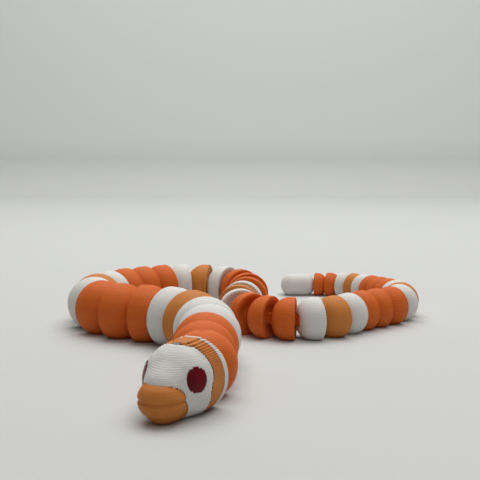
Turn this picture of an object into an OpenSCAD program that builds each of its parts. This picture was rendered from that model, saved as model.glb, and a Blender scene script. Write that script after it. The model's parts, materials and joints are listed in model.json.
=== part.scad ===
// Articulated snake toy, printed in place from coloured plastic.
// A head, 45 bead-shaped body rings and a rounded tail tip lie on a table.
// Each piece carries a flat tongue with an eye at its rear. The eye turns on an
// upright pin inside the socket at the front of the next piece, so the whole
// chain is captive and bends from side to side.
// +Z is up, the table is Z = 0, the snout points towards -Y and a little to -X.
// Segment 0 is the head, 1 to 45 are the rings and 46 is the tail tip.

/* [Body] */

// which sub-part to draw

// diameter of the first ring, which is a little narrower than the nape
neck_d = 16.2; // [14:0.1:18]

// diameter of the third ring
throat_d = 16.8; // [14:0.1:19]

// diameter of the sixth ring, the widest
widest_d = 17.9; // [15:0.1:20]

// diameter of the eleventh ring
back_d = 16.8; // [14:0.1:19]

// diameter of the ring in the middle of the body
middle_d = 13.8; // [12:0.1:16]

// diameter of the ring at three quarters of the body
hind_d = 12.7; // [10:0.1:15]

// diameter of the tail tip
tail_d = 8.7; // [7:0.1:12]

// distance between two hinge pins, as a share of the ring's diameter
pitch_share = 0.55; // [0.52:0.01:0.62]

// height of a ring's centre over the table, as a share of its radius
foot_share = 0.88; // [0.80:0.01:0.95]

// length of the tail tip behind its hinge, as a share of its diameter
tail_share = 1.35; // [1.0:0.05:2.0]

// how far the ball of the tail's end would pass its radius
tip_lap = 0.006; // [0.002:0.001:0.02]

/* [Ring shape] */

// front face of a ring ahead of its hinge pin, as a share of the radius
nose_share = 0.26; // [0.20:0.01:0.30]

// place where the dome reaches the full radius, as a share of the radius
crest_share = 0.55; // [0.40:0.01:0.70]

// radius of the dome's arc, as a share of the ring's radius
dome_share = 0.84; // [0.82:0.01:1.20]

// how far the dome's arc would pass the full radius, which leaves a faint edge there
crest_lap = 0.006; // [0.002:0.001:0.02]

// rear rim behind the hinge pin, as a share of the radius
rim_share = 0.80; // [0.60:0.01:0.84]

// rounding of the rear rim
rim_round = 0.45; // [0.2:0.05:0.8]

// depth of the hollow in the rear face, as a share of the radius
dish_share = 0.20; // [0.15:0.01:0.22]

// radius of that hollow at its mouth, as a share of the radius
dish_mouth = 0.86; // [0.80:0.01:0.90]

// radius of that hollow at its floor, as a share of the radius
dish_floor = 0.45; // [0.40:0.01:0.55]

/* [Hinge] */

// play all round the pin, the eye and the tongue
play = 0.30; // [0.2:0.05:0.5]

// how far a hinge turns to each side of straight, in degrees
bend_limit = 26; // [15:1:28]

// play left between the tongue and the side of its window at full bend
stop_play = 0.12; // [0.05:0.01:0.3]

// height of a tongue, as a share of the ring's diameter
tongue_share = 0.23; // [0.18:0.01:0.30]

// least radius of a pin, to which a share of the diameter is added
pin_least = 0.18; // [0.1:0.01:0.4]

// least wall of the eye round the pin
eye_wall = 0.10; // [0.05:0.01:0.3]

// least half width of a tongue
neck_least = 0.25; // [0.15:0.01:0.4]

/* [Head] */

// snout tip to the first hinge pin
head_len = 22.1; // [20:0.1:25]

// first hinge pin to the rear edge of the nape rim
neck_gap = 2.35; // [2.3:0.05:3.5]

// width of the white nape rim
nape_rim_w = 2.0; // [1.6:0.1:3]

// depth of the hollow in the nape rim, as a share of the skull's radius
nape_dish_share = 0.193; // [0.16:0.001:0.20]

// lean of the nape rim's rear edge at the crown, in degrees
crown_lean = 13; // [0:1:20]

// height from which the nape rim's rear edge leans, as a share of the skull's radius
crown_share = 1.36; // [1.2:0.01:1.8]

// first hinge pin to the centre of the skull's ball
skull_back = 9.1; // [8:0.1:10]

// radius of the skull's ball
skull_r = 8.3; // [7.5:0.1:9.0]

// how much the nape's radius is more than the skull's
nape_more = 0.05; // [0.02:0.01:0.2]

// radius of the snout seen from above
snout_r = 5.45; // [4.5:0.05:6.0]

// radius of the upper lip's round side
upper_lip = 3.5; // [3.0:0.1:4.5]

// height of the middle of the upper lip's arc
upper_lip_z = 5.2; // [4.8:0.1:6]

// radius of the lower lip's round side
lower_lip = 3.9; // [3.0:0.1:4.5]

// height of the middle of the lower lip's arc
lower_lip_z = 4.8; // [4:0.1:5.2]

// height of the mouth line
mouth_z = 5.0; // [4:0.1:6]

// depth of the mouth line
mouth_deep = 0.32; // [0.1:0.02:0.5]

// radius of the mouth line's round groove
mouth_round = 0.65; // [0.3:0.05:1.0]

// height of the lower lip's underside
lip_h = 2.0; // [1:0.1:2.5]

// radius of the muzzle's ball inside the snout
muzzle_r = 4.0; // [3:0.1:5]

// centre of the skull's ball to the centre of the muzzle's ball
muzzle_fore = 7.2; // [6:0.1:9]

// height of the muzzle's ball
muzzle_z = 4.0; // [3:0.1:6]

// radius of the brow's ball, which rounds out the forehead
brow_r = 5.0; // [4.5:0.1:5.5]

// centre of the skull's ball to the centre of the brow's ball
brow_fore = 5.7; // [5:0.1:7]

// height of the brow's ball
brow_z = 6.9; // [6:0.1:8]

// radius of the jaw's ball inside the skull
jaw_r = 7.2; // [6.5:0.1:7.4]

// how much lower the jaw's ball stands than the skull's
jaw_drop = 0.7; // [0.4:0.1:1.2]

// radius of the chin's ball, which ends the jaw under the lower lip
chin_r = 4.0; // [3:0.1:5]

// centre of the skull's ball to the centre of the chin's ball
chin_fore = 7.4; // [6:0.1:9]

// height of the chin's ball
chin_z = 3.3; // [3:0.1:4]

// width of an eye
eye_w = 4.6; // [3:0.1:6]

// height of an eye
eye_h = 5.2; // [3:0.1:7]

// turn of an eye from straight ahead, in degrees
eye_turn = 56; // [40:1:80]

// tilt of an eye upwards, in degrees
eye_tilt = 12; // [0:1:20]

// lean of an eye's upper end to the rear, in degrees
eye_lean = 8; // [0:1:20]

// depth of an eye's seat below the skull's surface
eye_depth = 1.6; // [1:0.1:2]

// how far an eye stands proud of the skull
eye_proud = 0.15; // [0:0.05:0.6]

/* [Resting curve] */

// direction of the neck from the snout, in degrees from +X
neck_heading = 63.5; // [45:0.5:90]

// [number of joints, bend of each in degrees, + to the left], from the nape to the tail
curve = [[1, 24.5], [1, 7.5], [1, -12], [1, 6], [1, 15.5], [3, 17], [1, -8.5], [1, -20.5],
         [2, -22.5], [2, -15], [2, -6], [5, -24.5], [1, -18], [1, -3], [1, 8], [1, 17.5],
         [5, 23.5], [1, 11.5], [2, -7.5], [1, 9], [2, 20], [1, 14], [1, 8], [3, 3], [1, 13],
         [1, 17], [3, 12]];

/* [Hidden] */

// colours: the head and the rings
white = [0.90, 0.89, 0.87];
orange = [0.90, 0.36, 0.13];
tan = [0.80, 0.46, 0.16];
crimson = [0.35, 0.03, 0.07];

$fn = 96;
last = 46;
big = 60;

// how far joined forms reach into each other
bite = 0.4;

// [segment, diameter] stations of the body, from the neck to the tail tip
stations = [[1, neck_d], [3, throat_d], [6, widest_d], [11, back_d], [23, middle_d],
            [34.5, hind_d], [last, tail_d]];

// places along the head, measured from the snout tip
nape_end = head_len - neck_gap;
band_end = nape_end - nape_rim_w;
skull_x = head_len - skull_back;
skull_z = foot_share * skull_r;
nape_r = skull_r + nape_more;

// joint of the snout and the face in the side view, from the table up:
// [back from the snout tip, up], as shares of the snout's radius
snout_joint = snout_r * [[1.65, 0], [1.28, 0.68], [0.97, 1.21], [0.83, 1.43], [0.70, 1.52],
                         [0.48, 1.55], [0.37, 1.69]];

// joint of the face and the nape band in the side view, from the table up:
// [back from the skull's centre, up], as shares of the skull's radius
face_joint = skull_r * [[0.14, 0], [-0.01, 0.36], [-0.12, 0.70], [-0.08, 0.89], [0.02, 1.11],
                        [0.05, 1.26], [0.01, 1.57], [-0.04, 1.76], [-0.19, 1.84], [-0.22, 1.99]];

function dia(k) = lookup(k, stations);
function rad(k) = dia(k) / 2;
function pitch(k) = k == 0 ? head_len : pitch_share * dia(k);
function axis_z(k) = foot_share * rad(k);

// bend of joint k, read from the runs of the resting curve
function bend(k, i = 0) =
    i >= len(curve) ? 0 : k <= curve[i][0] ? curve[i][1] : bend(k - curve[i][0], i + 1);

headings = [for (k = 0, a = neck_heading; k <= last; k = k + 1, a = a + bend(k)) a];
hinges = [for (k = 0, p = [0, 0]; k <= last;
               p = p + pitch(k) * [cos(headings[k]), sin(headings[k])], k = k + 1) p];

// sizes of the hinge between segment k - 1 and segment k, each a least size and a share
function pin_r(k) = pin_least + 0.06 * dia(k);
function flare(k) = 0.045 * dia(k);
function eye_r(k) = pin_r(k) + play + eye_wall + 0.06 * dia(k);
function neck_half(k) = neck_least + 0.055 * dia(k);
function tongue_h(k) = tongue_share * dia(k);

// plan outline of one side of ring k: [back from its pin, out]
function side_line(k) =
    let (r = rad(k), e = rim_round, y = rim_share * r, c = (1 + crest_lap - dome_share) * r)
    concat([[y, r - e], [y - 0.13 * e, r - 0.5 * e], [y - 0.5 * e, r - 0.13 * e], [y - e, r]],
           [for (t = [5:5:60]) [crest_share * r - dome_share * r * sin(t),
                                min(r, c + dome_share * r * cos(t))]]);

// a point of segment k's own frame, placed in the resting curve from the snout tip
function placed(k, p) =
    hinges[k] + [p[0] * cos(headings[k]) - p[1] * sin(headings[k]),
                 p[0] * sin(headings[k]) + p[1] * cos(headings[k])];

// middle of the resting layout's bounding box, seen from the snout tip, and the outer
// points of the rings, the snout and the tail that it is taken from
tail_ball = placed(last, [tail_share * dia(last) - rad(last), 0]);
reach = concat(
    [for (k = [1:last - 1]) for (p = side_line(k)) for (s = [-1, 1]) placed(k, [p[0], s * p[1]])],
    [for (s = [-1, 1]) placed(0, [snout_r, 0]) + s * snout_r * [1, 1]],
    [for (s = [-1, 1]) placed(last, [crest_share, s] * rad(last))],
    [for (s = [-1, 1]) tail_ball + s * rad(last) * [1, 1]]);
centre = [for (i = [0, 1]) (min([for (p = reach) p[i]]) + max([for (p = reach) p[i]])) / 2];

// colour of ring k: three orange, two white, tan, white, then three orange, white, tan, white
function ring_rgb(k) =
    k <= 3 ? orange :
    k == 6 ? tan :
    k <= 7 ? white :
    let (i = (k - 8) % 6) i <= 2 ? orange : i == 4 ? tan : white;

// moves a segment from its own frame to its place in the resting curve
module seat(k) {
    translate([hinges[k][0] - centre[0], hinges[k][1] - centre[1], 0])
        rotate([0, 0, headings[k]]) children();
}

// turns a shape that stands along +Z so that it lies along +X at the height z
module lay(z) {
    translate([0, 0, z]) rotate([0, 90, 0]) children();
}

// everything below the table
module under_table() {
    translate([-big, -big, -big]) cube([2 * big, 2 * big, big]);
}

// everything outside the dome at the front of a half section: the radius runs
// across and the body's length up
module outside_dome(r) {
    difference() {
        translate([-r, -2 * r]) square([3 * r, (2 + crest_share) * r]);
        translate([(1 + crest_lap - dome_share) * r, crest_share * r])
            circle(r = dome_share * r);
    }
}

// half section of a ring, with the edge of its rear rim broken in three small steps
module ring_section(r) {
    e = rim_round;
    y = rim_share * r;
    difference() {
        polygon([[0, -nose_share * r], [r, -nose_share * r], [r, y - e],
                 [r - 0.13 * e, y - 0.5 * e], [r - 0.5 * e, y - 0.13 * e], [r - e, y], [0, y]]);
        outside_dome(r);
    }
}

// half section of the tail tip, which ends in a half ball
module tip_section(r, len) {
    difference() {
        translate([0, -nose_share * r]) square([r, len + nose_share * r]);
        outside_dome(r);
        difference() {
            translate([-r, len - r]) square([3 * r, 2 * r]);
            translate([0, len - r]) circle(r = (1 + tip_lap) * r);
        }
    }
}

// hollow in the rear face: the dome of the next ring swings in it
module dish(r, z, x_rear, deep) {
    slope = (dish_mouth - dish_floor) * r / deep;
    translate([x_rear - deep, 0, z]) rotate([0, 90, 0])
        cylinder(h = deep + bite, r1 = dish_floor * r, r2 = dish_mouth * r + bite * slope);
}

// socket at the front of segment k, with its window flared by the bend limit
module socket(k) {
    h = tongue_h(k) + 2 * play;
    w = neck_half(k) + stop_play;
    s = sin(bend_limit);
    c = cos(bend_limit);
    t = rad(k);
    translate([0, 0, axis_z(k) - h / 2]) linear_extrude(height = h) {
        circle(r = eye_r(k) + play);
        polygon([[w * s, w * c], [w * s - t * c, w * c + t * s],
                 [w * s - t * c, -w * c - t * s], [w * s, -w * c]]);
    }
}

// upright pin of segment k, flared at both ends so that it prints without support
module pin(k) {
    h = tongue_h(k) + 2 * play;
    f = flare(k);
    r = pin_r(k);
    root = bite / 2;
    translate([0, 0, axis_z(k) - h / 2]) rotate_extrude()
        polygon([[0, -root], [r + f, -root], [r + f, 0], [r, f], [r, h - f], [r + f, h],
                 [r + f, h + root], [0, h + root]]);
}

// tongue at the rear of a segment: its eye turns on the pin of segment k at x, and the
// eye's edges are bevelled to keep the play round the pin's flares
module tongue(k, x, root) {
    h = tongue_h(k);
    n = neck_half(k);
    b = pin_r(k) + play;
    bevel = flare(k) - (2 - sqrt(2)) * play;
    translate([0, 0, axis_z(k) - h / 2]) difference() {
        linear_extrude(height = h) {
            translate([x, 0]) circle(r = eye_r(k));
            translate([root, -n]) square([x - root, 2 * n]);
        }
        translate([x, 0, 0]) rotate_extrude()
            polygon([[0, -h], [b + bevel + h, -h], [b, bevel], [b, h - bevel],
                     [b + bevel + h, 2 * h], [0, 2 * h]]);
    }
}

// body ring k with its socket, its pin and its tongue
module ring(k) {
    r = rad(k);
    z = axis_z(k);
    color(ring_rgb(k)) seat(k) {
        difference() {
            lay(z) rotate_extrude() ring_section(r);
            under_table();
            dish(r, z, rim_share * r, dish_share * r);
            socket(k);
        }
        pin(k);
        tongue(k + 1, pitch(k), (rim_share - dish_share) * r - bite);
    }
}

// rounded white tail tip with its socket and its pin
module tail_tip() {
    r = rad(last);
    color(white) seat(last) {
        difference() {
            lay(axis_z(last)) rotate_extrude() tip_section(r, tail_share * 2 * r);
            under_table();
            socket(last);
        }
        pin(last);
    }
}

// solid of revolution that wraps a large ball and a small ball at the distance d
module two_balls(ra, rb, d) {
    s = (ra - rb) / d;
    c = sqrt(1 - s * s);
    // the cone's side lies a trace inside the balls, so that it cuts into both
    trace = 0.02;
    qa = ra - trace;
    qb = rb - trace;
    rotate_extrude() intersection() {
        union() {
            circle(r = ra);
            polygon([[-1, qa * s], [qa * c, qa * s], [qb * c, d + qb * s], [-1, d + qb * s]]);
            translate([0, d]) circle(r = rb);
        }
        translate([0, -2 * ra]) square([2 * ra, 4 * ra + d]);
    }
}

// half section of the snout from the table up: two round lips with the mouth line between
module snout_section() {
    upper_x = snout_r - upper_lip;
    lower_x = snout_r - lower_lip;
    // the middle lies a trace lower than the top of the upper lip
    trace = 0.02;
    intersection() {
        difference() {
            union() {
                translate([upper_x, upper_lip_z]) circle(r = upper_lip);
                translate([lower_x, lower_lip_z]) circle(r = lower_lip);
                translate([-big, 0]) square([big + upper_x, upper_lip_z + upper_lip - trace]);
            }
            translate([snout_r + mouth_round - mouth_deep, mouth_z]) circle(r = mouth_round);
        }
        translate([0, lip_h]) square(2 * upper_lip_z + snout_r);
    }
}

// two balls and the cone that wraps them, from the skull's place forward and down
module wrapped(ra, za, rb, fore, zb) {
    translate([skull_x, 0, za]) rotate([0, -90 - atan2(za - zb, fore), 0])
        two_balls(ra, rb, norm([fore, za - zb]));
}

// skull and cheeks, the forehead over them and the jaw under them
module skull() {
    // the forehead's rear ball lies a little inside the skull's
    inside = 0.1;
    wrapped(skull_r, skull_z, muzzle_r, muzzle_fore, muzzle_z);
    wrapped(skull_r - inside, skull_z, brow_r, brow_fore, brow_z);
    wrapped(jaw_r, skull_z - jaw_drop, chin_r, chin_fore, chin_z);
}

// everything ahead of a joint that is given as a line in the side view
module ahead_of(line, x0) {
    low = line[0][0];
    high = line[len(line) - 1][0];
    translate([x0, big, 0]) rotate([90, 0, 0]) linear_extrude(height = 2 * big)
        polygon(concat([[-big, -big], [low, -big]], line, [[high, big], [-big, big]]));
}

// the skull behind the joint of the snout
module face_core() {
    difference() {
        skull();
        ahead_of(snout_joint, 0);
    }
}

// round nape between two places along the head, with its rear edge broken in three small
// steps like the rear rim of a ring
module nape(x0, x1, e) {
    r = nape_r;
    h = x1 - x0;
    translate([x0, 0, skull_z]) rotate([0, 90, 0]) rotate_extrude()
        polygon([[0, 0], [r, 0], [r, h - e], [r - 0.13 * e, h - 0.5 * e],
                 [r - 0.5 * e, h - 0.13 * e], [r - e, h], [0, h]]);
}

// oval prism of an eye from its seat outwards: a circle as high as the eye between two
// flatter arcs; side = 1 for the snake's left and -1 for its right
module eye_prism(side) {
    flatter = 1.45;
    bow = flatter * eye_w / 2;
    translate([skull_x, 0, skull_z]) rotate([0, -eye_tilt, 180 + side * eye_turn])
        translate([skull_r - eye_depth, 0, 0]) rotate([0, 90, 0])
            rotate([0, 0, -side * eye_lean])
                linear_extrude(height = 2 * eye_depth) intersection() {
                    circle(r = eye_h / 2);
                    translate([0, bow - eye_w / 2]) circle(r = bow);
                    translate([0, eye_w / 2 - bow]) circle(r = bow);
                }
}

module eye(side) {
    color(crimson) seat(0) intersection() {
        eye_prism(side);
        translate([skull_x, 0, skull_z]) sphere(r = skull_r + eye_proud);
    }
}

module snout() {
    color(tan) seat(0) difference() {
        union() {
            intersection() {
                skull();
                ahead_of(snout_joint, 0);
            }
            translate([snout_r, 0, 0]) rotate_extrude() snout_section();
        }
        face_core();
        under_table();
    }
}

module face_shell() {
    color(white) seat(0) difference() {
        intersection() {
            face_core();
            ahead_of(face_joint, skull_x);
        }
        under_table();
        eye_prism(1);
        eye_prism(-1);
    }
}

module nape_band() {
    color(tan) seat(0) difference() {
        union() {
            skull();
            nape(skull_x, band_end, 0);
        }
        under_table();
        ahead_of(face_joint, skull_x);
        translate([band_end, -big, -big]) cube(2 * big);
    }
}

module nape_rim() {
    floor_x = nape_end - nape_dish_share * skull_r;
    color(white) seat(0) {
        difference() {
            nape(band_end, nape_end, rim_round);
            under_table();
            dish(nape_r, skull_z, nape_end, nape_end - floor_x);
            // the crown's rear edge leans forward
            translate([nape_end, 0, crown_share * skull_r]) rotate([0, -crown_lean, 0])
                translate([0, -big, -big]) cube(2 * big);
        }
        tongue(1, head_len, (band_end + floor_x) / 2);
    }
}

snout();
face_shell();
eye(1);  // eye_left
eye(-1);  // eye_right
nape_band();
nape_rim();
ring(1);  // ring_01
ring(2);  // ring_02
ring(3);  // ring_03
ring(4);  // ring_04
ring(5);  // ring_05
ring(6);  // ring_06
ring(7);  // ring_07
ring(8);  // ring_08
ring(9);  // ring_09
ring(10);  // ring_10
ring(11);  // ring_11
ring(12);  // ring_12
ring(13);  // ring_13
ring(14);  // ring_14
ring(15);  // ring_15
ring(16);  // ring_16
ring(17);  // ring_17
ring(18);  // ring_18
ring(19);  // ring_19
ring(20);  // ring_20
ring(21);  // ring_21
ring(22);  // ring_22
ring(23);  // ring_23
ring(24);  // ring_24
ring(25);  // ring_25
ring(26);  // ring_26
ring(27);  // ring_27
ring(28);  // ring_28
ring(29);  // ring_29
ring(30);  // ring_30
ring(31);  // ring_31
ring(32);  // ring_32
ring(33);  // ring_33
ring(34);  // ring_34
ring(35);  // ring_35
ring(36);  // ring_36
ring(37);  // ring_37
ring(38);  // ring_38
ring(39);  // ring_39
ring(40);  // ring_40
ring(41);  // ring_41
ring(42);  // ring_42
ring(43);  // ring_43
ring(44);  // ring_44
ring(45);  // ring_45
tail_tip();
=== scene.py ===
"""Looks of an articulated snake toy, printed in place from coloured plastic.

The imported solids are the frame: a head of six pieces, 45 bead rings and a tail tip.
Lengths are in metres and the snake lies on the floor Z = 0. The head is rebuilt layer
by layer from its solids, as a printer lays it down. The rings keep their solids.
"""
import json
import math

import bpy
import numpy as np
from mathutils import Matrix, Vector, noise
from mathutils.geometry import tessellate_polygon


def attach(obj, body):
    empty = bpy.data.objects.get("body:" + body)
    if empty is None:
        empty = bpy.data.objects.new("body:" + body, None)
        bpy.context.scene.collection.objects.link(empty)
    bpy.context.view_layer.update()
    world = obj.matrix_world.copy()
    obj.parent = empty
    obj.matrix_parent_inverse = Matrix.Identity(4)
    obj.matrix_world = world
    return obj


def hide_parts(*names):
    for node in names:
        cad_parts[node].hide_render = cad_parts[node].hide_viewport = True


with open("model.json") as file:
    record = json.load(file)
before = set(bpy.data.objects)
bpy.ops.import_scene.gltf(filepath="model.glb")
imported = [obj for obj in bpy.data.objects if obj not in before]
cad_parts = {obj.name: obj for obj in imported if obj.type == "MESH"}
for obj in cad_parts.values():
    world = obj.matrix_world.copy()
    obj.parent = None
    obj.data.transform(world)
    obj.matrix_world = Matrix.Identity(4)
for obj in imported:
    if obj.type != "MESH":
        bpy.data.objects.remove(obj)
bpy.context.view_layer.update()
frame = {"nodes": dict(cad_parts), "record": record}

MM = 0.001
TINY = 1e-30                 # keeps a division by a length of zero from failing

# Camera, as measured against the photograph
CAMERA_PLACE = (-2.702 * MM, -251.265 * MM, 57.177 * MM)
CAMERA_PITCH = 6.1837        # degrees below the horizon
CAMERA_LENS = 63.957         # mm
CAMERA_SENSOR = 36.0         # width in mm
CAMERA_NEAR = 0.005
CAMERA_FAR = 10.0

# The head's pieces and their printed layers
HEAD = ("snout", "face_shell", "eye_left", "eye_right", "nape_band", "nape_rim")
HEADING = math.radians(63.5)  # direction from the snout to the neck, from +X
LAYER = 0.40 * MM            # height of one layer, on the head and on the rings
BEAD = (-1.0, -0.6, 0.0, 0.6, 1.0)   # heights on a layer's edge, from its middle
GROOVE = 0.025 * MM          # depth of the groove between two layers
OVERLAP = 0.02 * MM          # how far a layer sinks into the one below
STEP = 0.25 * MM             # spacing of the points along a layer's edge
FEWEST_POINTS = 8            # on an outline, however small
SPECK = 0.05 * MM * MM       # a layer's outline with less area than this is left out
JOINED = 1e-4 * MM           # points of a solid that are closer than this are one
SHARP_EDGE = math.radians(50)

# How a layer's edge wanders in and out
WAVER = 0.025 * MM
WAVER_LENGTH = 2.2 * MM      # about the length of one swing along the edge
WAVER_JUMP = 5.3             # shift of the noise from one layer to the next

# How a slope is smoothed over the steps of its layers
SOFT = 0.96                  # share of the step that is smoothed away
WIDEST_RUN = 5.0             # the longest slope that is smoothed, in layer heights
FLATTEST = 1e-6              # least square of the sine of a surface's tilt from level
REACH = 3                    # how many points to each side a slope is evened out over

# Seams between the head's colours
SEAM = 0.05 * MM             # how far a colour stays back from the next
DEEP_SEAMS = {"nape_band": 0.12 * MM, "snout": 0.09 * MM}
# Pieces with painted shade at a seam, standing in for the shade in the joint there: 1 if it is the
# front edge, -1 the rear, and how dark
PAINTED_SEAM_SHADE = {"nape_band": (1, 0.88), "snout": (-1, 0.60)}
PAINTED_SHADE_FROM = 0.12             # how far an edge faces the seam where the dark begins
PAINTED_SHADE_OVER = 0.30             # and over how much more it grows to its full depth

# Colours as linear RGB: (face, darker colour: painted shade in the grooves between the rings' drawn
# layers, and the dark end of the uneven tone), and roughness
PLASTICS = {
    "white_plastic": ((0.76, 0.745, 0.715), (0.65, 0.635, 0.60), 0.55),
    "orange_plastic": ((0.70, 0.146, 0.021), (0.54, 0.088, 0.011), 0.60),
    "tan_plastic": ((0.64, 0.228, 0.050), (0.50, 0.155, 0.028), 0.55),
    "crimson_plastic": ((0.190, 0.005, 0.012), (0.09, 0.001, 0.004), 0.34),
}
SPECULAR = 0.18
UNEVEN_GLOSS = 0.16          # how much the roughness varies from place to place

# Noises in the plastics: scale and detail
CLOUD = (260.0, 3.0)         # patches of colour and gloss
GRAIN = (2600.0, 2.0)        # fine relief
RING_WAVER = (110.0, 2.0)    # unevenness of the drawn layers

# Drawn layers of the rings
RING_WAVER_HEIGHT = 0.30     # in layer heights
BEAD_POWER = 3.0             # how square a layer's edge is
# the bead's share darkens the colour in the grooves between the drawn layers: painted shade
BANDED_SHARES = (0.50, 0.22, 0.38)   # of the colour: bead, layer's own shade, cloud
BANDED_RAMP = (0.05, 0.85)
BANDED_GRAIN = 0.25          # share of the relief
BANDED_RELIEF = 0.014 * MM

# Colour and relief of the head's real layers
LAYERED_SHARE = 0.30         # of the colour: the layer's own shade, beside the cloud
LAYERED_RAMP = (0.10, 0.95)
LAYERED_RELIEF = 0.012 * MM

# Paper sweep behind and under the toy
SWEEP_FRONT = -1.5
SWEEP_START = 0.72           # where the floor begins to curve up
SWEEP_RADIUS = 0.045
SWEEP_STEPS = 16             # on the curve
SWEEP_TOP = 1.6
SWEEP_HALF = 1.8             # half of its width
# The wall's lighter grey is painted light on the backdrop; floor and wall are one sheet of paper.
FLOOR_GREY = (0.600, 0.612, 0.602)
WALL_GREY_WITH_PAINTED_LIGHT = (0.77, 0.785, 0.77)
PAPER_RAMP = (0.02, 0.75)    # heights between which the grey changes, in sweep diameters
PAPER_GRAIN = (900.0, 3.0)   # noise scale and detail
PAPER_RELIEF = 0.02 * MM
PAPER_ROUGHNESS = 0.75
PAPER_SPECULAR = 0.15

# Light: the surroundings' colour, their light on the toy and how bright they look
SURROUNDINGS = (0.95, 0.98, 1.0, 1)
FILL = 0.13
SEEN_BEYOND = 0.52
# Lamps: place, target, size, watts, colour
LAMPS = {
    "overhead": ((0.06, 0.30, 0.85), (0, 0.10, 0), (1.1, 0.8), 8.9, (1.0, 0.985, 0.965)),
    "front": ((0.15, -0.42, 0.80), (0, -0.03, 0.01), (0.6, 0.5), 1.5, (1.0, 0.99, 0.975)),
}


def nodes_of(material):
    """The emptied node tree of a material."""
    material.use_nodes = True
    tree = material.node_tree
    tree.nodes.clear()
    return tree


def add(tree, kind, **inputs):
    """A shader node with its plain input values set by name."""
    node = tree.nodes.new(kind)
    for key, value in inputs.items():
        node.inputs[key].default_value = value
    return node


def maths(tree, operation, a, b=0.0):
    """The result of one operation on one or two values, each a number or a node's output."""
    node = tree.nodes.new("ShaderNodeMath")
    node.operation = operation
    for socket, value in zip(node.inputs, (a, b)):
        if isinstance(value, (int, float)):
            socket.default_value = value
        else:
            tree.links.new(value, socket)
    return node.outputs[0]


def ramp_between(tree, value, ends, first, second):
    """Colour that runs from first to second as the value runs between the two ends."""
    ramp = add(tree, "ShaderNodeValToRGB")
    for element, position, colour in zip(ramp.color_ramp.elements, ends, (first, second)):
        element.position = position
        element.color = (*colour, 1)
    tree.links.new(value, ramp.inputs[0])
    return ramp.outputs[0]


def place_of(tree):
    """The place of the surface in the object's own frame, and its height."""
    place = add(tree, "ShaderNodeTexCoord").outputs["Object"]
    parts = add(tree, "ShaderNodeSeparateXYZ")
    tree.links.new(place, parts.inputs[0])
    return place, parts.outputs["Z"]


def noise_of(tree, place, kind):
    """Noise of one kind, which is its scale and its detail."""
    scale, detail = kind
    texture = add(tree, "ShaderNodeTexNoise", Scale=scale, Detail=detail)
    tree.links.new(place, texture.inputs["Vector"])
    return texture.outputs[0]


def layer_shade(tree, number):
    """A shade from 0 to 1 that each layer has for itself."""
    shade = add(tree, "ShaderNodeTexWhiteNoise")
    shade.noise_dimensions = "1D"
    tree.links.new(maths(tree, "FLOOR", number), shade.inputs["W"])
    return shade.outputs["Value"]


def finish(tree, colour, relief, depth, shader):
    """Joins a colour and a relief to the shader, and the shader to the output."""
    bump = add(tree, "ShaderNodeBump", Strength=1.0, Distance=depth)
    tree.links.new(relief, bump.inputs["Height"])
    tree.links.new(colour, shader.inputs["Base Color"])
    tree.links.new(bump.outputs[0], shader.inputs["Normal"])
    out = add(tree, "ShaderNodeOutputMaterial")
    tree.links.new(shader.outputs[0], out.inputs[0])


def finish_plastic(tree, colour, relief, depth, rough, cloud):
    """Satin plastic, with a roughness that varies a little with the cloud."""
    shader = add(tree, "ShaderNodeBsdfPrincipled")
    shader.inputs["Specular IOR Level"].default_value = SPECULAR
    patches = maths(tree, "MULTIPLY", cloud, UNEVEN_GLOSS)
    gloss = maths(tree, "ADD", rough - 0.5 * UNEVEN_GLOSS, patches)
    tree.links.new(gloss, shader.inputs["Roughness"])
    finish(tree, colour, relief, depth, shader)


def ring_height(tree, place, z):
    """Height in layers, a little uneven from place to place."""
    swing = maths(tree, "SUBTRACT", noise_of(tree, place, RING_WAVER), 0.5)
    waver = maths(tree, "MULTIPLY", swing, RING_WAVER_HEIGHT)
    return maths(tree, "ADD", maths(tree, "DIVIDE", z, LAYER), waver)


def bead_of(tree, height):
    """Relief of one layer's edge: 1 at its middle and 0 in the grooves."""
    middle = maths(tree, "SUBTRACT", maths(tree, "FRACT", height), 0.5)
    across = maths(tree, "ABSOLUTE", maths(tree, "MULTIPLY", middle, 2.0))
    return maths(tree, "SUBTRACT", 1.0, maths(tree, "POWER", across, BEAD_POWER))


def stepped(tree, bead):
    """The same relief, up to twice as deep where the surface is shallow."""
    parts = add(tree, "ShaderNodeSeparateXYZ")
    facing = add(tree, "ShaderNodeNewGeometry").outputs["True Normal"]
    tree.links.new(facing, parts.inputs[0])
    shallow = maths(tree, "MULTIPLY", parts.outputs["Z"], parts.outputs["Z"])
    return maths(tree, "MULTIPLY", bead, maths(tree, "ADD", 1.0, shallow))


def banded_plastic(name, face, groove_shade_and_dark_tone, rough):
    """Satin plastic whose layers are drawn in colour and relief, for the rings; the colour darkens
    in the grooves between them as painted shade.
    """
    material = bpy.data.materials.new(name)
    tree = nodes_of(material)
    place, z = place_of(tree)
    height = ring_height(tree, place, z)
    bead = bead_of(tree, height)
    cloud = noise_of(tree, place, CLOUD)

    # the bead's share is painted shade in the grooves; the layer's own shade and the cloud are
    # uneven tone
    shares = zip((bead, layer_shade(tree, height), cloud), BANDED_SHARES)
    painted_groove_shade, shade_share, cloud_share = (maths(tree, "MULTIPLY", *pair) for pair in shares)
    fill = maths(tree, "ADD", painted_groove_shade, maths(tree, "ADD", shade_share, cloud_share))
    colour = ramp_between(tree, fill, BANDED_RAMP, groove_shade_and_dark_tone, face)

    grain = maths(tree, "MULTIPLY", noise_of(tree, place, GRAIN), BANDED_GRAIN)
    relief = maths(tree, "ADD", stepped(tree, bead), grain)
    finish_plastic(tree, colour, relief, BANDED_RELIEF, rough, cloud)
    return material


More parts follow.
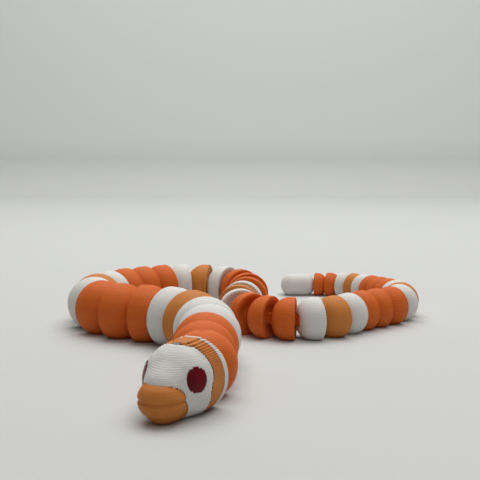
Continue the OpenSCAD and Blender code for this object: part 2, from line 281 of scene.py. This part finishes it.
def with_painted_shade(tree, colour):
    """The colour, made darker by the painted shade that the mesh holds at its seams."""
    painted_shade = add(tree, "ShaderNodeAttribute")
    painted_shade.attribute_name = "painted_shade"
    dark = add(tree, "ShaderNodeVectorMath")
    dark.operation = "SCALE"
    tree.links.new(colour, dark.inputs[0])
    tree.links.new(maths(tree, "SUBTRACT", 1.0, painted_shade.outputs["Fac"]), dark.inputs["Scale"])
    return dark.outputs[0]


def layered_plastic(name, face, groove_shade_and_dark_tone, rough):
    """The same plastic for pieces whose layers are real: each has its own shade, and painted shade
    at the seams darkens it.
    """
    material = bpy.data.materials.new(name)
    tree = nodes_of(material)
    place, z = place_of(tree)
    level = maths(tree, "DIVIDE", maths(tree, "SUBTRACT", z, 0.5 * OVERLAP), LAYER)
    cloud = noise_of(tree, place, CLOUD)
    own = maths(tree, "MULTIPLY", layer_shade(tree, level), LAYERED_SHARE)
    fill = maths(tree, "ADD", own, cloud)
    # painted shade at the seams darkens the colour here
    colour = with_painted_shade(tree, ramp_between(tree, fill, LAYERED_RAMP, groove_shade_and_dark_tone, face))
    finish_plastic(tree, colour, noise_of(tree, place, GRAIN), LAYERED_RELIEF, rough, cloud)
    return material


def paper():
    """Matt paper: the floor a little darker than the wall, the wall's lighter grey being painted
    light, with a faint grain.
    """
    material = bpy.data.materials.new("paper")
    tree = nodes_of(material)
    place, z = place_of(tree)
    height = maths(tree, "DIVIDE", z, 2.0 * SWEEP_RADIUS)
    colour = ramp_between(tree, height, PAPER_RAMP, FLOOR_GREY, WALL_GREY_WITH_PAINTED_LIGHT)
    shader = add(tree, "ShaderNodeBsdfPrincipled", Roughness=PAPER_ROUGHNESS)
    shader.inputs["Specular IOR Level"].default_value = PAPER_SPECULAR
    finish(tree, colour, noise_of(tree, place, PAPER_GRAIN), PAPER_RELIEF, shader)
    return material


def solid_of(node):
    """Points and triangles of a CAD solid, with the points at one place joined."""
    mesh = frame["nodes"][node].data
    mesh.calc_loop_triangles()
    points = np.zeros(len(mesh.vertices) * 3)
    mesh.vertices.foreach_get("co", points)
    points = points.reshape(-1, 3)
    corners = np.zeros(len(mesh.loop_triangles) * 3, np.int32)
    mesh.loop_triangles.foreach_get("vertices", corners)
    keys = np.round(points / JOINED).astype(np.int64)
    _, first, joined = np.unique(keys, axis=0, return_index=True, return_inverse=True)
    return points[first], joined.reshape(-1)[corners].reshape(-1, 3)


def crossings(points, triangles, z):
    """The cuts of single triangles at height z, as what follows what, and their places.

    A cut's end lies on a triangle's edge and is named by that edge. Each place is
    (x, y, slope), and slope is how far the surface there faces up.
    """
    above = points[:, 2] > z
    mixed = triangles[above[triangles].any(1) & ~above[triangles].all(1)]
    following, place = {}, {}
    for tri in mixed:
        a, b, c = points[tri]
        facing = np.cross(b - a, c - a)
        slope = facing[2] / (np.linalg.norm(facing) + TINY)
        ends = [None, None]
        for i in range(3):
            low, high = tri[i], tri[(i + 1) % 3]
            if above[low] != above[high]:
                p, q = sorted((low, high))
                share = (z - points[p, 2]) / (points[q, 2] - points[p, 2])
                spot = points[p] + share * (points[q] - points[p])
                place[p, q] = (spot[0], spot[1], slope)
                ends[int(above[high])] = (p, q)
        following[ends[0]] = ends[1]
    return following, place


def outlines(points, triangles, z):
    """Closed outlines where the height z cuts a solid, with the solid on their left.

    Each is a list of (x, y, slope). Outlines round less than a speck are left out.
    """
    following, place = crossings(points, triangles, z)
    loops = []
    while following:
        start, at = following.popitem()
        loop = [place[start]]
        while at != start and at in following:
            loop.append(place[at])
            at = following.pop(at)
        loops.append(np.array(loop))
    return [loop for loop in loops if abs(area(loop)) > SPECK]


def area(loop):
    """Area inside an outline, less than 0 where it runs clockwise."""
    x, y = loop[:, 0], loop[:, 1]
    return 0.5 * np.sum(x * np.roll(y, -1) - y * np.roll(x, -1))


def even_points(loop):
    """The outline with its points at even steps, and the outward direction at each."""
    closed = np.vstack([loop, loop[:1]])
    lengths = np.hypot(*np.diff(closed[:, :2], axis=0).T)
    run = np.concatenate([[0.0], np.cumsum(lengths)])
    count = max(FEWEST_POINTS, int(round(run[-1] / STEP)))
    at = np.arange(count) * run[-1] / count
    spaced = np.column_stack([np.interp(at, run, closed[:, i]) for i in range(3)])
    along = np.roll(spaced[:, :2], -1, axis=0) - np.roll(spaced[:, :2], 1, axis=0)
    along /= (np.hypot(*along.T) + TINY)[:, None]
    return spaced, np.column_stack([along[:, 1], -along[:, 0]])


def wander_of(spots, number):
    """How far each point of a layer's edge wanders, as a share of the most it may."""
    places = (Vector((x / WAVER_LENGTH, y / WAVER_LENGTH, WAVER_JUMP * number)) for x, y, _ in spots)
    return np.array([noise.noise(place) for place in places])


def run_of(slope):
    """How far a surface goes in over the height of one layer, up to the widest run."""
    tilt = slope / np.sqrt(np.maximum(1 - slope ** 2, FLATTEST))
    return LAYER * np.clip(tilt, -WIDEST_RUN, WIDEST_RUN)


def calm(run, widest):
    """The run with its jumps evened out, small beside a steep joint and in narrow places."""
    shifts = range(-REACH, REACH + 1)
    near = np.stack([np.roll(run, k) for k in shifts])
    least = np.take_along_axis(near, np.abs(near).argmin(0)[None], 0)[0]
    evened = np.mean([np.roll(least, k) for k in shifts], axis=0)
    return np.clip(evened, -widest, widest)


def painted_seam_shade(node, outward, slope):
    """How dark the painted shade is at each point of an outline, from 0 to 1, by the way it faces:
    it stands in for the shade in the joint where the piece meets the next.

    A shallow slope gets less, because its edge is spread wide.
    """
    side, depth = PAINTED_SEAM_SHADE.get(node, (1, 0.0))
    to_seam = -side * np.array((math.cos(HEADING), math.sin(HEADING)))
    return depth * np.clip((outward @ to_seam - PAINTED_SHADE_FROM) / PAINTED_SHADE_OVER, 0.0, 1.0) * (1 - slope ** 2)


def lay_edge(piece, loop, number):
    """Adds the rounded edge of one outline. Returns the numbers of its lowest and highest points."""
    spots, outward = even_points(loop)
    slope = spots[:, 2]
    count = len(spots)
    first = len(piece["verts"])
    back = DEEP_SEAMS.get(piece["node"], SEAM) + WAVER * wander_of(spots, number)
    edge = spots[:, :2] - outward * back[:, None]
    half_width = abs(area(spots)) / (STEP * count)
    run = calm(run_of(slope), half_width)
    # painted shade of the joint, kept for each point of the edge
    shade = painted_seam_shade(piece["node"], outward, slope)
    for level in BEAD:
        hollow = GROOVE * (1 - math.sqrt(1 - level ** 2))
        ring = edge - outward * (hollow + 0.5 * SOFT * level * run)[:, None]
        sunk = OVERLAP if level == BEAD[0] else 0.0
        z = max(0.0, number * LAYER + 0.5 * (1 + level) * LAYER - sunk)
        piece["verts"].extend((x, y, z) for x, y in ring)
        piece["shades"].extend(shade)
    last = first + (len(BEAD) - 1) * count
    for a in range(first, last, count):
        b = a + count
        for i in range(count):
            j = (i + 1) % count
            piece["faces"].append((a + i, a + j, b + j, b + i))
    return range(first, first + count), range(last, last + count)


def close(piece, rims, up):
    """Fills the flat area between the rims of one layer, facing up or down."""
    verts = piece["verts"]
    names = [v for rim in rims for v in rim]
    for tri in tessellate_polygon([[Vector(verts[v]) for v in rim] for rim in rims]):
        a, b, c = (names[i] for i in tri)
        turn = (verts[b][0] - verts[a][0]) * (verts[c][1] - verts[a][1])
        turn -= (verts[c][0] - verts[a][0]) * (verts[b][1] - verts[a][1])
        piece["faces"].append((a, b, c) if (turn > 0) == up else (a, c, b))


def lay_down(piece, loops, number):
    """Adds one layer: the rounded edge of each outline, and the flat bottom and top."""
    edges = [lay_edge(piece, loop, number) for loop in loops]
    for rims, up in zip(zip(*edges), (False, True)):
        close(piece, rims, up)


def layers_of(node):
    """The points, faces and painted seam shades of a head piece, laid down in layers."""
    points, triangles = solid_of(node)
    low, high = points[:, 2].min(), points[:, 2].max()
    piece = {"node": node, "verts": [], "faces": [], "shades": []}
    for number in range(int(low / LAYER), int(high / LAYER) + 1):
        middle = (number + 0.5) * LAYER
        loops = outlines(points, triangles, middle)
        if loops:
            lay_down(piece, loops, number)
    return piece


def printed(node, material):
    """A head piece laid down in real layers, in the place of its CAD solid."""
    piece = layers_of(node)
    mesh = bpy.data.meshes.new(node + "_layers")
    mesh.from_pydata(piece["verts"], [], piece["faces"])
    mesh.polygons.foreach_set("use_smooth", [True] * len(mesh.polygons))
    mesh.set_sharp_from_angle(angle=SHARP_EDGE)
    # painted shade at the seams, which the plastic darkens its colour by
    painted_shade = mesh.attributes.new("painted_shade", "FLOAT", "POINT")
    painted_shade.data.foreach_set("value", piece["shades"])
    mesh.materials.append(material)
    obj = bpy.data.objects.new(node + "_layers", mesh)
    bpy.context.scene.collection.objects.link(obj)
    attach(obj, "head")
    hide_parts(node)
    return obj


def dress():
    """Gives every CAD solid its plastic, and lays the head's pieces down in layers."""
    slots = {s["node"]: s["material_slot"] for s in frame["record"]["subparts"]}
    banded = {slot: banded_plastic(slot, *look) for slot, look in PLASTICS.items()}
    layered = {slot: layered_plastic(slot + "_layered", *look) for slot, look in PLASTICS.items()}
    for name, obj in frame["nodes"].items():
        obj.data.materials.clear()
        obj.data.materials.append(banded[slots[name]])
    for name in HEAD:
        printed(name, layered[slots[name]])


def sweep_profile():
    """Side view of the sweep as (y, z): the floor, the curve and the wall."""
    profile = [(SWEEP_FRONT, 0.0), (SWEEP_START, 0.0)]
    for i in range(1, SWEEP_STEPS + 1):
        a = math.radians(90 * i / SWEEP_STEPS)
        y = SWEEP_START + SWEEP_RADIUS * math.sin(a)
        profile.append((y, SWEEP_RADIUS - SWEEP_RADIUS * math.cos(a)))
    profile.append((SWEEP_START + SWEEP_RADIUS, SWEEP_TOP))
    return profile


def sweep():
    """Floor that curves up into a backdrop, as on a photographer's paper roll."""
    profile = sweep_profile()
    verts = [(x, y, z) for y, z in profile for x in (-SWEEP_HALF, SWEEP_HALF)]
    faces = [(2 * i, 2 * i + 1, 2 * i + 3, 2 * i + 2) for i in range(len(profile) - 1)]
    mesh = bpy.data.meshes.new("sweep")
    mesh.from_pydata(verts, [], faces)
    mesh.polygons.foreach_set("use_smooth", [True] * len(faces))
    obj = bpy.data.objects.new("sweep", mesh)
    bpy.context.scene.collection.objects.link(obj)
    obj.data.materials.append(paper())


def camera():
    """The camera at the photograph's place and angle."""
    data = bpy.data.cameras.new("camera")
    data.lens = CAMERA_LENS
    data.sensor_width = CAMERA_SENSOR
    data.clip_start = CAMERA_NEAR
    data.clip_end = CAMERA_FAR
    obj = bpy.data.objects.new("camera", data)
    bpy.context.scene.collection.objects.link(obj)
    obj.location = CAMERA_PLACE
    obj.rotation_euler = (math.radians(90 - CAMERA_PITCH), 0, 0)
    bpy.context.scene.camera = obj


def lamp(name, place, target, size, watts, colour):
    """A rectangular soft light that points at its target."""
    data = bpy.data.lights.new(name, "AREA")
    data.shape = "RECTANGLE"
    data.size, data.size_y = size
    data.energy = watts
    data.color = colour
    obj = bpy.data.objects.new(name, data)
    bpy.context.scene.collection.objects.link(obj)
    obj.location = place
    obj.rotation_euler = (Vector(target) - Vector(place)).to_track_quat("-Z", "Y").to_euler()


def surroundings():
    """A faint even light on the toy, that looks brighter where the camera sees it."""
    world = bpy.data.worlds.new("world")
    bpy.context.scene.world = world
    world.use_nodes = True
    tree = world.node_tree
    background = tree.nodes["Background"]
    background.inputs["Color"].default_value = SURROUNDINGS
    seen = add(tree, "ShaderNodeLightPath").outputs["Is Camera Ray"]
    extra = maths(tree, "MULTIPLY", seen, SEEN_BEYOND - FILL)
    tree.links.new(maths(tree, "ADD", FILL, extra), background.inputs["Strength"])


def lights():
    """The surroundings and the lamps."""
    surroundings()
    for name, values in LAMPS.items():
        lamp(name, *values)


camera()
lights()
sweep()
dress()
bpy.context.scene.view_settings.view_transform = "Standard"
